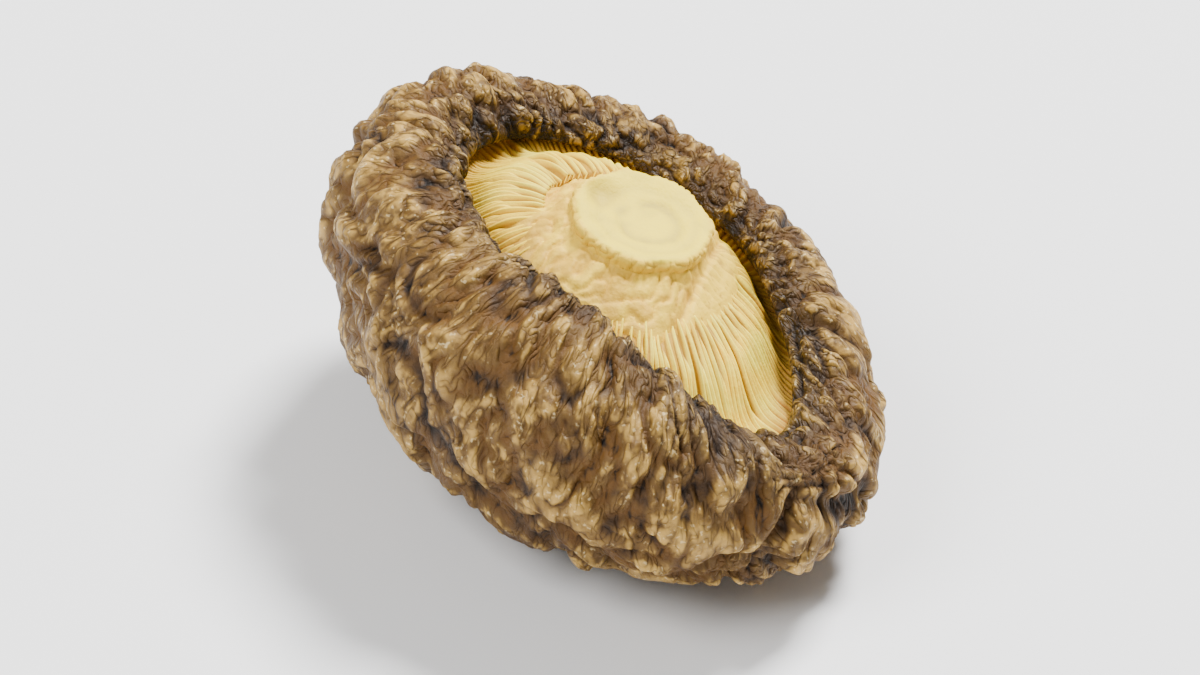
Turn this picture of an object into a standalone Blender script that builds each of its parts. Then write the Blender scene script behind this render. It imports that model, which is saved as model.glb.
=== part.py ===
"""Dried shiitake mushroom, resting on its crown with the gills and the cut stem facing up.

Every piece is first turned round the Z axis as an upright, round mushroom: crown at the bottom, stem
tip at the top. It is then wrinkled along its normals, made oval, leaned to one side and set on the
surface at z = 0. Lengths are in metres, and the origin is the middle of the flat resting spot.
"""

import math

import bmesh
import bpy
from mathutils import Matrix, Vector, noise

MM = 0.001

# Driving dimensions of the upright, round mushroom
CAP_RADIUS = 18.4 * MM
CROWN_DEPTH = 11.6 * MM
RIM_HEIGHT = 17.0 * MM
LIP_HEIGHT = 15.0 * MM
ROLL_HALF_WIDTH = 3.1 * MM
BED_HEIGHT = 12.0 * MM
BED_RISE = 0.7 * MM
STEM_HEIGHT = 19.9 * MM
STEM_RADIUS = 4.6 * MM

# Oval and lean, with the azimuth of the long axis and of the side that it leans to
OVAL = 1.17
OVAL_AZIMUTH = math.radians(-54.0)
LEAN_CROWN = math.radians(3.0)
LEAN_RIM = math.radians(17.0)
LEAN_AZIMUTH = math.radians(-7.0)
LEAN_START = 1.0 * MM

# The spot that it rests on, in the leaned frame, and how far round it the skin stays even
REST_X = -0.4 * MM
REST_Y = 0.0 * MM
REST_CUT = 0.7 * MM
REST_CLEAR = 3.0 * MM
REST_FADE = 4.0 * MM

# Gap that keeps touching pieces apart
GAP = 0.3 * MM

# Skin: soft folds, creases between swellings, and pleats across the rolled rim
FOLD_SIZE = 8.0 * MM
FOLD_DEPTH = 0.55 * MM
CREASE_CELL = 3.9 * MM
CREASE_DEPTH = 1.15 * MM
CREASE_STRETCH = Vector((0.75, 0.75, 1.1))
PLEAT_CELL = 2.9 * MM
PLEAT_STRETCH = 0.34
PLEAT_DEPTH = 0.75 * MM
CREASE_WIDTH = 0.42
CREASE_LEVEL = 0.45
WARP_SIZE = 5.0 * MM
WARP = 1.3 * MM
PLEAT_WARP = 0.45 * MM
SWIRL_PLACES = (Vector((2.6, 7.3, 4.9)), Vector((31.4, 17.2, 5.9)), Vector((11.8, 43.6, 27.3)))
POLE_EVEN = 0.2

# Where the rolled rim is pushed in or pulled up: azimuth and half width in degrees, push and lift
RIM_BENDS = (
    (-122.0, 51.0, 3.3 * MM, 0.8 * MM),
    (172.0, 28.0, 0.7 * MM, 0.2 * MM),
    (96.0, 12.0, 0.4 * MM, -0.4 * MM),
    (80.0, 30.0, -0.1 * MM, -0.3 * MM),
    (11.0, 32.0, 2.2 * MM, -0.45 * MM),
    (-47.0, 21.0, -1.4 * MM, -0.35 * MM),
)
LIP_FOLLOW = 0.65

# Gills: full blades reach the stem, and a short blade stands between each two
GILL_PAIRS = 32
SAMPLES_PER_PAIR = 8
FULL_SAMPLES = (0, 1)
SHORT_SAMPLES = (4, 5)
GILL_INNER = 6.0 * MM
GILL_OUTER = 14.0 * MM
GILL_FLOOR = 0.7 * MM
GILL_HEIGHT = 2.3 * MM
GILL_SWELL = 1.9 * MM
GILL_SWELL_END = 11.5 * MM
GILL_UNEVEN = 0.15
GILL_DROOP = 8.5 * MM
GILL_END_SHARE = 0.35
SHORT_GILL_START = 8.4 * MM
LIP_RADIUS = CAP_RADIUS - 2.0 * ROLL_HALF_WIDTH
GROOVE = GILL_OUTER + 0.9 * MM

# How far the stem stands off the middle, the slant of its cut, where it turns round, and its fibres
STEM_OFFSET = Vector((0.2 * MM, 1.5 * MM, 0.0))
STEM_SLANT = 0.05
STEM_ROUND_START = 3.0 * MM
FIBRES = ((7.0, 1.0, 0.16 * MM), (11.0, 0.0, 0.1 * MM))

# Turning steps
CAP_STEPS = 112
STEM_STEPS = 44
CROWN_STEPS = 21
ROLL_STEPS = 14
GILL_STEPS = 8
ROLL_END = math.radians(183.0)
EVENING = 0.45

# Zones along the cap's profile: crown 0 to 1, rolled rim 1 to 2, bed under the gills 2 to 3
RIM_START, LIP, BED_END = 1.0, 2.0, 3.0
ROLL_LENGTH = 2.0 * RIM_HEIGHT - CROWN_DEPTH - LIP_HEIGHT + 2.0 * ROLL_HALF_WIDTH


def smoothstep(low, high, value):
    """0 below low, 1 above high and a smooth rise between them."""
    t = min(1.0, max(0.0, (value - low) / (high - low)))
    return t * t * (3.0 - 2.0 * t)


def bed_height(radius):
    """Height of the flesh that the gills and the stem stand on."""
    return BED_HEIGHT + BED_RISE * (radius / GILL_OUTER) ** 2


def beside_stem(point):
    """Moves a point of the gill ring with the stem, which stands off the middle of the bed."""
    radius = math.hypot(point.x, point.y)
    moved = point + STEM_OFFSET * (1.0 - smoothstep(GILL_INNER, GILL_OUTER, radius))
    moved.z += bed_height(math.hypot(moved.x, moved.y)) - bed_height(radius)
    return moved


def cap_profile():
    """(radius, height, zone) from the middle of the bed, over the rim and down to the crown."""
    points = []
    for i in range(CROWN_STEPS):
        share = i / CROWN_STEPS
        turn = math.pi / 2 * share
        points.append((CAP_RADIUS * math.sin(turn), CROWN_DEPTH * (1.0 - math.cos(turn)), share))
    roll_centre = CAP_RADIUS - ROLL_HALF_WIDTH
    for i in range(ROLL_STEPS + 1):
        turn = ROLL_END * i / ROLL_STEPS
        radius = roll_centre + ROLL_HALF_WIDTH * math.cos(turn)
        foot = CROWN_DEPTH if turn < math.pi / 2 else LIP_HEIGHT
        height = foot + (RIM_HEIGHT - foot) * math.sin(turn)
        points.append((radius, height, RIM_START + i / ROLL_STEPS))
    lip_height = points[-1][1]
    points.append((GILL_OUTER, lip_height + GAP, LIP + 0.08))
    points.append((GROOVE, bed_height(GROOVE) + 1.0 * MM, LIP + 0.16))
    for radius in (GROOVE - 2.0 * GAP, GILL_OUTER * 0.75, GILL_INNER, GILL_INNER / 2, 0.0):
        points.append((radius, bed_height(radius), BED_END - 0.7 * radius / GROOVE))
    return points[::-1]


def gill_profile():
    """(radius, height, rise) round the section of the gill ring, with how far the gills rise there."""
    top = []
    for i in range(GILL_STEPS + 1):
        radius = GILL_INNER + (GILL_OUTER - GILL_INNER) * i / GILL_STEPS
        droop = smoothstep(GILL_DROOP, LIP_RADIUS - GAP, radius)
        swell = GILL_SWELL * (1.0 - smoothstep(GILL_INNER, GILL_SWELL_END, radius))
        rise = swell + GILL_HEIGHT * (1.0 - (1.0 - GILL_END_SHARE) * droop)
        top.append((radius, bed_height(radius) + GAP + GILL_FLOOR, rise))
    under = [
        (radius, bed_height(radius) + GAP, 0.0)
        for radius in (GILL_OUTER, (GILL_INNER + GILL_OUTER) / 2, GILL_INNER)
    ]
    return top + under


def stem_profile():
    """(radius, height, fibre) from the middle of the cut end down to the foot."""
    foot = bed_height(GILL_INNER + STEM_OFFSET.length) + GAP
    tip = STEM_HEIGHT
    foot_radius = GILL_INNER - 1.6 * GAP
    return [
        (0.0, tip - 0.5 * MM, 0.0),
        (STEM_RADIUS * 0.55, tip - 0.35 * MM, 0.1),
        (STEM_RADIUS * 0.86, tip, 0.4),
        (STEM_RADIUS, tip - 0.5 * MM, 0.8),
        (STEM_RADIUS, tip - 2.0 * MM, 1.0),
        (STEM_RADIUS * 0.98, tip - 3.5 * MM, 1.0),
        (STEM_RADIUS * 1.03, tip - 5.0 * MM, 0.7),
        (foot_radius, foot + 2.2 * MM, 0.15),
        (foot_radius, foot + 0.6 * MM, 0.0),
        (foot_radius - GAP, foot, 0.0),
        (0.0, foot, 0.0),
    ]


def turned(name, profile, steps, closed_section=False):
    """A mesh turned from a profile with a Screw modifier. The profile's third value stays on its
    vertices as the attribute "along"."""
    mesh = bpy.data.meshes.new(name + "_section")
    mesh.vertices.add(len(profile))
    count = len(profile) if closed_section else len(profile) - 1
    mesh.edges.add(count)
    for i, (radius, height, _) in enumerate(profile):
        mesh.vertices[i].co = (radius, 0.0, height)
    for i in range(count):
        mesh.edges[i].vertices = (i, (i + 1) % len(profile))
    along = mesh.attributes.new("along", "FLOAT", "POINT")
    for i, (_, _, value) in enumerate(profile):
        along.data[i].value = value
    section = bpy.data.objects.new(name + "_section", mesh)
    bpy.context.scene.collection.objects.link(section)
    screw = section.modifiers.new("turn", "SCREW")
    screw.steps = steps
    screw.render_steps = steps
    screw.use_merge_vertices = True
    screw.merge_threshold = 0.00001
    screw.use_smooth_shade = True
    bpy.context.view_layer.update()
    graph = bpy.context.evaluated_depsgraph_get()
    solid = bpy.data.meshes.new_from_object(section.evaluated_get(graph))
    solid.name = name
    bpy.data.objects.remove(section)
    return solid


def stretched(point, share):
    """A point moved out along the oval's long axis by a share, and in across it."""
    turn = Matrix.Rotation(OVAL_AZIMUTH, 3, "Z")
    return turn @ Matrix.Diagonal((share, 1.0 / share, 1.0)) @ turn.transposed() @ point


def settle(point):
    """Takes a point of the round, upright mushroom to its place in the oval, leaning, resting one."""
    oval = stretched(point, OVAL)
    lean = LEAN_CROWN + (LEAN_RIM - LEAN_CROWN) * smoothstep(LEAN_START, CROWN_DEPTH, point.z)
    axis = Vector((-math.sin(LEAN_AZIMUTH), math.cos(LEAN_AZIMUTH), 0.0))
    pivot = Vector((0.0, 0.0, CROWN_DEPTH))
    leaned = Matrix.Rotation(lean, 3, axis) @ (oval - pivot) + pivot
    return leaned - Vector((REST_X, REST_Y, REST_CUT))


def rim_bend(azimuth, zone):
    """How far the rolled rim is pushed towards the stem and lifted at this azimuth."""
    push, lift = 0.0, 0.0
    for at, width, inward, up in RIM_BENDS:
        away = (math.degrees(azimuth) - at + 180.0) % 360.0 - 180.0
        share = math.exp(-((away / width) ** 2))
        push += inward * share
        lift += up * share
    lip_weight = smoothstep(1.15, 1.6, zone) * (1.0 - smoothstep(1.9, 2.15, zone))
    crest_weight = smoothstep(0.7, 1.4, zone) * (1.0 - smoothstep(1.6, 2.0, zone))
    return push * lip_weight, lift * crest_weight + LIP_FOLLOW * max(push, 0.0) * lip_weight


def swelling(point, cell):
    """0 in the creases between the swellings of the skin, rising to 1 on their tops."""
    return smoothstep(0.0, CREASE_WIDTH, abs(noise.noise(point / cell)))


def swirled(place):
    """A smooth push in some direction, the same each time for the same place."""
    return Vector([noise.noise(place + away) for away in SWIRL_PLACES])


def skin_height(point, zone):
    """How far the wrinkled skin stands in or out from the turned form."""
    azimuth = math.atan2(point.y, point.x)
    swirl = swirled(point / WARP_SIZE)
    folds = FOLD_DEPTH * noise.noise(point / FOLD_SIZE)
    crease_place = (point + WARP * swirl) * CREASE_STRETCH
    creases = CREASE_DEPTH * (swelling(crease_place, CREASE_CELL) - CREASE_LEVEL)
    ring = Vector((math.cos(azimuth), math.sin(azimuth), 0.0)) * CAP_RADIUS
    run = Vector((0.0, 0.0, (zone - RIM_START) * ROLL_LENGTH * PLEAT_STRETCH))
    pleats = PLEAT_DEPTH * (swelling(ring + run + PLEAT_WARP * swirl, PLEAT_CELL) - CREASE_LEVEL)
    relief = creases + (pleats - creases) * smoothstep(1.1, 1.5, zone)
    inside_lip = 1.0 - smoothstep(1.75, LIP, zone)
    return (folds + relief) * inside_lip * smoothstep(0.0, POLE_EVEN, zone)


def resting_fade(settled):
    """0 over the resting spot and 1 away from it, so that the spot stays even."""
    if settled.z > CROWN_DEPTH / 2:
        return 1.0
    away = math.hypot(settled.x, settled.y)
    return smoothstep(REST_CLEAR, REST_CLEAR + REST_FADE, away)


def shape(mesh, move):
    """Moves every vertex by move(point, normal, along) and settles it on the surface."""
    along = [item.value for item in mesh.attributes["along"].data]
    normals = [vertex.normal.copy() for vertex in mesh.vertices]
    for vertex, normal, value in zip(mesh.vertices, normals, along):
        settled = settle(move(vertex.co.copy(), normal, value))
        settled.z = max(settled.z, 0.0)
        vertex.co = settled
    mesh.update()
    return mesh


def cap_move(point, normal, zone):
    """The cap's skin: bent rim and wrinkles."""
    if zone > LIP + 0.05:
        return point
    push, lift = rim_bend(math.atan2(point.y, point.x), zone)
    outward = Vector((point.x, point.y, 0.0))
    outward = outward.normalized() if outward.length > GAP else Vector((0.0, 0.0, 0.0))
    height = skin_height(point, zone) * resting_fade(settle(point))
    return point - outward * push + Vector((0.0, 0.0, lift)) + normal * height


def gill_move(point, normal, rise):
    """Raises the blades on the upper side of the gill ring."""
    if rise == 0.0:
        return beside_stem(point)
    turn = math.atan2(point.y, point.x) / math.tau
    sample = round(turn * GILL_PAIRS * SAMPLES_PER_PAIR) % SAMPLES_PER_PAIR
    reaches_stem = sample in FULL_SAMPLES
    short = sample in SHORT_SAMPLES and math.hypot(point.x, point.y) > SHORT_GILL_START
    if not (reaches_stem or short):
        return beside_stem(point)
    pair = math.floor(turn * GILL_PAIRS + 0.5 / SAMPLES_PER_PAIR)
    uneven = 1.0 + GILL_UNEVEN * math.sin(pair * 2.4)
    return beside_stem(point) + Vector((0.0, 0.0, rise * uneven))


def stem_move(point, normal, fibre):
    """Keeps the stem's cut round under the oval, slants it, and raises the stem's long fibres."""
    free = smoothstep(bed_height(0.0) + STEM_ROUND_START, STEM_HEIGHT, point.z)
    azimuth = math.atan2(point.y, point.x)
    fibres = sum(depth * math.sin(count * azimuth + phase) for count, phase, depth in FIBRES)
    slant = Vector((0.0, 0.0, STEM_SLANT * point.x)) * free
    raised = point + slant + normal * fibres * fibre
    return raised.lerp(stretched(raised, 1.0 / OVAL), free) + STEM_OFFSET


def even_skin(mesh):
    """Evens the cap's skin once, so that no crease is left with sharp points."""
    bm = bmesh.new()
    bm.from_mesh(mesh)
    along = bm.verts.layers.float["along"]
    skin = [vertex for vertex in bm.verts if POLE_EVEN < vertex[along] < LIP - POLE_EVEN]
    bmesh.ops.smooth_vert(bm, verts=skin, factor=EVENING, use_axis_x=True, use_axis_y=True, use_axis_z=True)
    bm.to_mesh(mesh)
    bm.free()
    return mesh


def finish(name, mesh, colour, roughness, collection):
    """Wraps a mesh as a named object with its own material."""
    material = bpy.data.materials.new(name)
    material.use_nodes = True
    shader = material.node_tree.nodes["Principled BSDF"]
    shader.inputs["Base Color"].default_value = (*colour, 1.0)
    shader.inputs["Roughness"].default_value = roughness
    shader.inputs["Metallic"].default_value = 0.0
    mesh.materials.clear()
    mesh.materials.append(material)
    piece = bpy.data.objects.new(name, mesh)
    collection.objects.link(piece)
    return piece


def main():
    """Clears the scene and builds the mushroom's cap, gills and stem."""
    for old in list(bpy.data.objects):
        bpy.data.objects.remove(old)
    collection = bpy.data.collections.new("dried_shiitake_mushroom")
    bpy.context.scene.collection.children.link(collection)
    cap = even_skin(shape(turned("cap", cap_profile(), CAP_STEPS), cap_move))
    gill_samples = GILL_PAIRS * SAMPLES_PER_PAIR
    gills = shape(turned("gills", gill_profile(), gill_samples, closed_section=True), gill_move)
    stem = shape(turned("stem", stem_profile(), STEM_STEPS), stem_move)
    finish("cap", cap, (0.15, 0.095, 0.055), 0.75, collection)
    finish("gills", gills, (0.72, 0.52, 0.22), 0.7, collection)
    finish("stem", stem, (0.76, 0.62, 0.36), 0.75, collection)


main()
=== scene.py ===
"""The looks of a dried shiitake mushroom that rests on its crown, gills and cut stem up.

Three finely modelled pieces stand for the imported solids: the wrinkled cap, the ring of gills and the
stem. Each is turned as a round, upright mushroom, given its relief, then made oval, leaned and set
down by the same form as the solids. Lengths are in metres.
"""

import logging
import math
from dataclasses import dataclass, field
from enum import Enum
from functools import cached_property

import bmesh
import bpy
from mathutils import Euler, Matrix, Vector, noise


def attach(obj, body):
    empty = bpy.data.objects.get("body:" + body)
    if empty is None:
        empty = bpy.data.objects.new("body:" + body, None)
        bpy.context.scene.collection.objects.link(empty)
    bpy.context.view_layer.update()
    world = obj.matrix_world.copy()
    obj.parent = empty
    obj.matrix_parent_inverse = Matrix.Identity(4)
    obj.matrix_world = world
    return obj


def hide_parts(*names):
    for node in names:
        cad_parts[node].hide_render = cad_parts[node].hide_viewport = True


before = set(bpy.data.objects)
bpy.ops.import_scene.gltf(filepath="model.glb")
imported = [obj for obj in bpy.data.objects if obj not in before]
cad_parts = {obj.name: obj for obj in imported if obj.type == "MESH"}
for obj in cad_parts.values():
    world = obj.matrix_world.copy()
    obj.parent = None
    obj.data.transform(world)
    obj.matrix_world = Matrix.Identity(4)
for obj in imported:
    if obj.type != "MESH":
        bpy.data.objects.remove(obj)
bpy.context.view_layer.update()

MM = 0.001
WELD = 0.001 * MM
ROOT = "root"

# How far the noise goes from its middle at a top, what takes that to 1 in a material, and how round
# the tops are.
CREASE_NOISE = 0.42
CREASE_GAIN = 4.5
CREASE_ROUND = 0.7

# Places far apart in the noise, so that forms read there have nothing to do with each other.
CURL_PLACE = Vector((7.1, 3.3, 1.9))
PLATE_PLACE = Vector((2.7, 8.1, 4.4))
RING_PLACE = Vector((4.0, 0.0, 2.0))
SWIRL_PLACES = (Vector((2.6, 7.3, 4.9)), Vector((31.4, 17.2, 5.9)), Vector((11.8, 43.6, 27.3)))

Colour = tuple[float, float, float, float]
Range = tuple[float, float]
Triple = tuple[float, float, float]
log = logging.getLogger("mushroom")


class Slot(Enum):
    """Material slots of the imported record."""

    CAP = "cap_skin"
    GILLS = "gill_flesh"
    STEM = "stem_flesh"


def smoothstep(low: float, high: float, value: float) -> float:
    """Rises smoothly from 0 to 1 as value goes from low to high."""
    t = min(1.0, max(0.0, (value - low) / (high - low)))
    return t * t * (3.0 - 2.0 * t)


def lerp(start: float, end: float, share: float) -> float:
    """Goes from start to end as share goes from 0 to 1."""
    return start + (end - start) * share


def between(value: float, rises: Range, falls: Range) -> float:
    """1 between a rise and a fall, each given by where it starts and ends, and 0 outside them."""
    return smoothstep(*rises, value) * (1.0 - smoothstep(*falls, value))


def bell(away: float, width: float) -> float:
    """1 where away is 0, falling smoothly to 0 over about two widths to either side."""
    return math.exp(-((away / width) ** 2))


def felt(azimuth: float, centre: float, half_width: float) -> float:
    """1 at the centre, falling to 0 about two half widths away from it, all in degrees."""
    return bell((azimuth - centre + 180.0) % 360.0 - 180.0, half_width)


def around(azimuth: float, radius: float) -> Vector:
    """The point at a radius from the axis, in a direction in radians."""
    return Vector((math.cos(azimuth), math.sin(azimuth), 0.0)) * radius


@dataclass(frozen=True)
class RimBend:
    """A stretch of the rolled rim that dried pushed in or pulled up.

    Angles are in degrees, and push is towards the stem.
    """

    azimuth: float
    half_width: float
    push: float
    lift: float

    def share(self, azimuth: float) -> float:
        """How strongly the bend is felt at an azimuth in degrees."""
        return felt(azimuth, self.azimuth, self.half_width)


@dataclass(frozen=True)
class Form:
    """Driving dimensions of the upright, round mushroom, and how it is leaned and set down.

    A zone is a place along the cap's profile: 0 to 1 over the crown, 1 to 2 over the rolled rim, and
    up to 3 in the middle of the bed under the gills.
    """

    cap_radius: float = 18.4 * MM
    crown_depth: float = 11.6 * MM
    rim_height: float = 17.0 * MM
    lip_height: float = 15.0 * MM
    roll_half_width: float = 3.1 * MM
    bed_base: float = 12.0 * MM
    bed_rise: float = 0.7 * MM
    gill_inner: float = 6.0 * MM
    gill_outer: float = 14.0 * MM
    stem_height: float = 19.9 * MM
    stem_radius: float = 4.6 * MM
    oval: float = 1.17
    oval_azimuth: float = math.radians(-54.0)
    lean_crown: float = math.radians(3.0)
    lean_rim: float = math.radians(17.0)
    lean_azimuth: float = math.radians(-7.0)
    lean_start: float = 1.0 * MM
    rest: Triple = (-0.4 * MM, 0.0, 0.7 * MM)
    stem_offset: Triple = (0.2 * MM, 1.5 * MM, 0.0)
    gap: float = 0.3 * MM
    gill_floor: float = 0.7 * MM
    gill_height: float = 2.3 * MM
    gill_end_share: float = 0.35
    gill_droop: float = 8.5 * MM
    gill_swell: float = 1.9 * MM
    gill_swell_end: float = 11.5 * MM
    lip_follow: float = 0.65
    lip_rises: Range = (1.15, 1.6)
    lip_falls: Range = (1.9, 2.15)
    crest_rises: Range = (0.7, 1.4)
    crest_falls: Range = (1.6, 2.0)
    bends: tuple[RimBend, ...] = (
        RimBend(-122.0, 51.0, 3.3 * MM, 0.8 * MM),
        RimBend(172.0, 28.0, 0.7 * MM, 0.2 * MM),
        RimBend(96.0, 12.0, 0.4 * MM, -0.4 * MM),
        RimBend(80.0, 30.0, -0.1 * MM, -0.3 * MM),
        RimBend(11.0, 32.0, 2.2 * MM, -0.45 * MM),
        RimBend(-47.0, 21.0, -1.4 * MM, -0.35 * MM),
    )

    @cached_property
    def stretch(self) -> Matrix:
        """The turn, stretch and turn back that make the round form oval."""
        turn = Matrix.Rotation(self.oval_azimuth, 3, "Z")
        return turn @ Matrix.Diagonal((self.oval, 1.0 / self.oval, 1.0)) @ turn.transposed()

    @cached_property
    def unstretch(self) -> Matrix:
        """What undoes the stretch, for the stem's free end."""
        return self.stretch.inverted()

    @property
    def lip_radius(self) -> float:
        """Inner radius of the rolled rim before it is bent."""
        return self.cap_radius - 2.0 * self.roll_half_width

    def bed_height(self, radius: float) -> float:
        """Height of the flesh that the gills and the stem stand on."""
        return self.bed_base + self.bed_rise * (radius / self.gill_outer) ** 2

    def gill_top(self, radius: float) -> float:
        """Height of the gills' edges, highest round the stem and lowest under the lip."""
        droop = smoothstep(self.gill_droop, self.lip_radius - self.gap, radius)
        swell = self.gill_swell * (1.0 - smoothstep(self.gill_inner, self.gill_swell_end, radius))
        rise = swell + self.gill_height * lerp(1.0, self.gill_end_share, droop)
        return self.bed_height(radius) + self.gap + self.gill_floor + rise

    def beside_stem(self, point: Vector) -> Vector:
        """Moves a point of the gill ring with the stem, which stands off the middle of the bed."""
        radius = math.hypot(point.x, point.y)
        near = 1.0 - smoothstep(self.gill_inner, self.gill_outer, radius)
        moved = point + Vector(self.stem_offset) * near
        moved.z += self.bed_height(math.hypot(moved.x, moved.y)) - self.bed_height(radius)
        return moved

    def settle(self, point: Vector) -> Vector:
        """Takes a point of the upright, round mushroom to its place in the resting one.

        Args:
            point: The point in the upright mushroom.

        Returns:
            The point in the frame, never below the surface that the mushroom rests on.
        """
        oval = self.stretch @ point
        rise = smoothstep(self.lean_start, self.crown_depth, point.z)
        lean = lerp(self.lean_crown, self.lean_rim, rise)
        towards = around(self.lean_azimuth, 1.0)
        along = oval.dot(towards)
        above = oval.z - self.crown_depth
        moved = along * math.cos(lean) + above * math.sin(lean)
        height = self.crown_depth - along * math.sin(lean) + above * math.cos(lean)
        settled = oval + towards * (moved - along)
        settled.z = height
        settled -= Vector(self.rest)
        settled.z = max(settled.z, 0.0)
        return settled

    def rim_bend(self, azimuth: float, zone: float) -> tuple[float, float]:
        """How far the rolled rim is pushed in and lifted.

        Args:
            azimuth: Direction round the upright mushroom, in radians.
            zone: Place along the cap's profile.

        Returns:
            The push towards the stem and the lift.
        """
        degrees = math.degrees(azimuth)
        push = sum(bend.push * bend.share(degrees) for bend in self.bends)
        lift = sum(bend.lift * bend.share(degrees) for bend in self.bends)
        lip = between(zone, self.lip_rises, self.lip_falls)
        crest = between(zone, self.crest_rises, self.crest_falls)
        return push * lip, lift * crest + self.lip_follow * max(push, 0.0) * lip


FORM = Form()


def swelling(place: Vector, cell: float, width: float) -> float:
    """0 in creases about a cell apart, and 1 between them, where the noise is past width."""
    return smoothstep(0.0, width, abs(noise.noise(place / cell)))


def swirl(place: Vector) -> Vector:
    """A smooth push in some direction, the same each time for the same place."""
    return Vector([noise.noise(place + away) for away in SWIRL_PLACES])


def crinkle(place: Vector, cell: float) -> float:
    """0 in sharp creases about a cell apart, rising to about 1 on the rounded tops between them."""
    return min(1.0, abs(noise.noise(place / cell)) / CREASE_NOISE) ** CREASE_ROUND


class Number:
    """A number in a material's node tree that adds Math nodes when Python's operators are used."""

    def __init__(self, web: "NodeWeb", socket: bpy.types.NodeSocket) -> None:
        """Wraps an output socket of a node web."""
        self.web = web
        self.socket = socket

    def _math(self, operation: str, first: object, second: object) -> "Number":
        """Adds one Math node on two values."""
        return self.web.add("ShaderNodeMath", {"operation": operation}, {0: first, 1: second})

    def __add__(self, other: object) -> "Number":
        """Adds."""
        return self._math("ADD", self, other)

    __radd__ = __add__

    def __sub__(self, other: object) -> "Number":
        """Subtracts."""
        return self._math("SUBTRACT", self, other)

    def __rsub__(self, other: object) -> "Number":
        """Subtracts from a plain number."""
        return self._math("SUBTRACT", other, self)

    def __mul__(self, other: object) -> "Number":
        """Multiplies."""
        return self._math("MULTIPLY", self, other)

    def __pow__(self, other: object) -> "Number":
        """Raises to a power."""
        return self._math("POWER", self, other)

    def __abs__(self) -> "Number":
        """Drops the sign."""
        return self.web.add("ShaderNodeMath", {"operation": "ABSOLUTE"}, {0: self})

    def clamped(self) -> "Number":
        """The value held between 0 and 1."""
        return self.web.add("ShaderNodeClamp", {}, {"Value": self})

    def ramp(self, low: float, high: float) -> "Number":
        """0 below low, 1 above high and a smooth rise between them."""
        settings = {"interpolation_type": "SMOOTHSTEP"}
        values = {"Value": self, "From Min": low, "From Max": high}
        return self.web.add("ShaderNodeMapRange", settings, values)


class NodeWeb:
    """The node tree of one material."""

    def __init__(self, name: str) -> None:
        """Starts a material with nothing but its shader.

        Args:
            name: The material's name.
        """
        self.material = bpy.data.materials.new(name)
        self.material.use_nodes = True
        self.tree = self.material.node_tree
        self.shader = self.tree.nodes["Principled BSDF"]

    def add(self, kind: str, settings: dict, sockets: dict, output: int | str = 0) -> Number:
        """Adds a node.

        Args:
            kind: The node's type.
            settings: Properties that are set before its sockets.
            sockets: Values or links by socket name or number.
            output: The output that is returned.

        Returns:
            The wrapped output.
        """
        node = self.tree.nodes.new(kind)
        for name, value in settings.items():
            setattr(node, name, value)
        for key, value in sockets.items():
            self.feed(node.inputs[key], value)
        return Number(self, node.outputs[output])

    def feed(self, socket: bpy.types.NodeSocket, value: object) -> None:
        """Links a wrapped output to a socket, or sets the socket's own value."""
        if isinstance(value, Number):
            self.tree.links.new(value.socket, socket)
        else:
            socket.default_value = value

    def attribute(self, name: str) -> Number:
        """A number that the piece's mesh holds at each point."""
        return self.add("ShaderNodeAttribute", {"attribute_name": name}, {}, "Fac")

    def place(self) -> Number:
        """Object coordinates in millimetres."""
        coordinates = self.add("ShaderNodeTexCoord", {}, {}, "Object")
        return self.add("ShaderNodeMapping", {}, {"Vector": coordinates, "Scale": (1.0 / MM,) * 3})

    def attribute_place(self, name: str) -> Number:
        """A place that the piece's mesh holds at each point."""
        return self.add("ShaderNodeAttribute", {"attribute_name": name}, {}, "Vector")

    def swirled(self, place: Number, size: float, reach: float) -> Number:
        """A place pushed about by smooth noise.

        Args:
            place: The place in millimetres.
            size: Size of the swirls in millimetres.
            reach: How far they push it, in millimetres.

        Returns:
            The pushed place.
        """
        values = {"Vector": place, "Scale": 1.0 / size, "Detail": 1.0}
        swirls = self.add("ShaderNodeTexNoise", {}, values, "Color")
        middle = (0.5, 0.5, 0.5)
        centred = self.add("ShaderNodeVectorMath", {"operation": "SUBTRACT"}, {0: swirls, 1: middle})
        # The noise stays within about a quarter of its middle.
        push = self.add("ShaderNodeVectorMath", {"operation": "SCALE"}, {0: centred, "Scale": 4.0 * reach})
        return self.add("ShaderNodeVectorMath", {"operation": "ADD"}, {0: place, 1: push})

    def crinkle(self, place: Number, size: float) -> Number:
        """Sharp creases at 0 and rounded tops at 1, about a size apart in millimetres."""
        return (abs(self.noise(place, size, 0.0) - 0.5) * CREASE_GAIN).clamped() ** CREASE_ROUND

    def noise(self, place: Number, size: float, detail: float = 2.0, roughness: float = 0.5) -> Number:
        """Smooth noise from 0 to 1, with features of a size in millimetres."""
        values = {"Vector": place, "Scale": 1.0 / size, "Detail": detail, "Roughness": roughness}
        return self.add("ShaderNodeTexNoise", {}, values, "Fac")

    def mix(self, share: object, first: object, second: object, blend: str = "MIX") -> Number:
        """Goes from the first colour to the second, laid on by blend, as share goes from 0 to 1."""
        settings = {"data_type": "RGBA", "blend_type": blend}
        return self.add("ShaderNodeMix", settings, {0: share, 6: first, 7: second}, 2)

    def bump(self, height: Number, depth: float) -> Number:
        """A normal tilted by a height from 0 to 1 that stands for a depth in metres."""
        values = {"Strength": 1.0, "Distance": depth, "Height": height}
        return self.add("ShaderNodeBump", {}, values, "Normal")

    def dress(self, **values: object) -> bpy.types.Material:
        """Sets the shader's sockets and gives the finished material.

        Args:
            **values: Socket values by name, with _ for each space.

        Returns:
            The material.
        """
        for name, value in values.items():
            self.feed(self.shader.inputs[name.replace("_", " ")], value)
        return self.material


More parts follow.
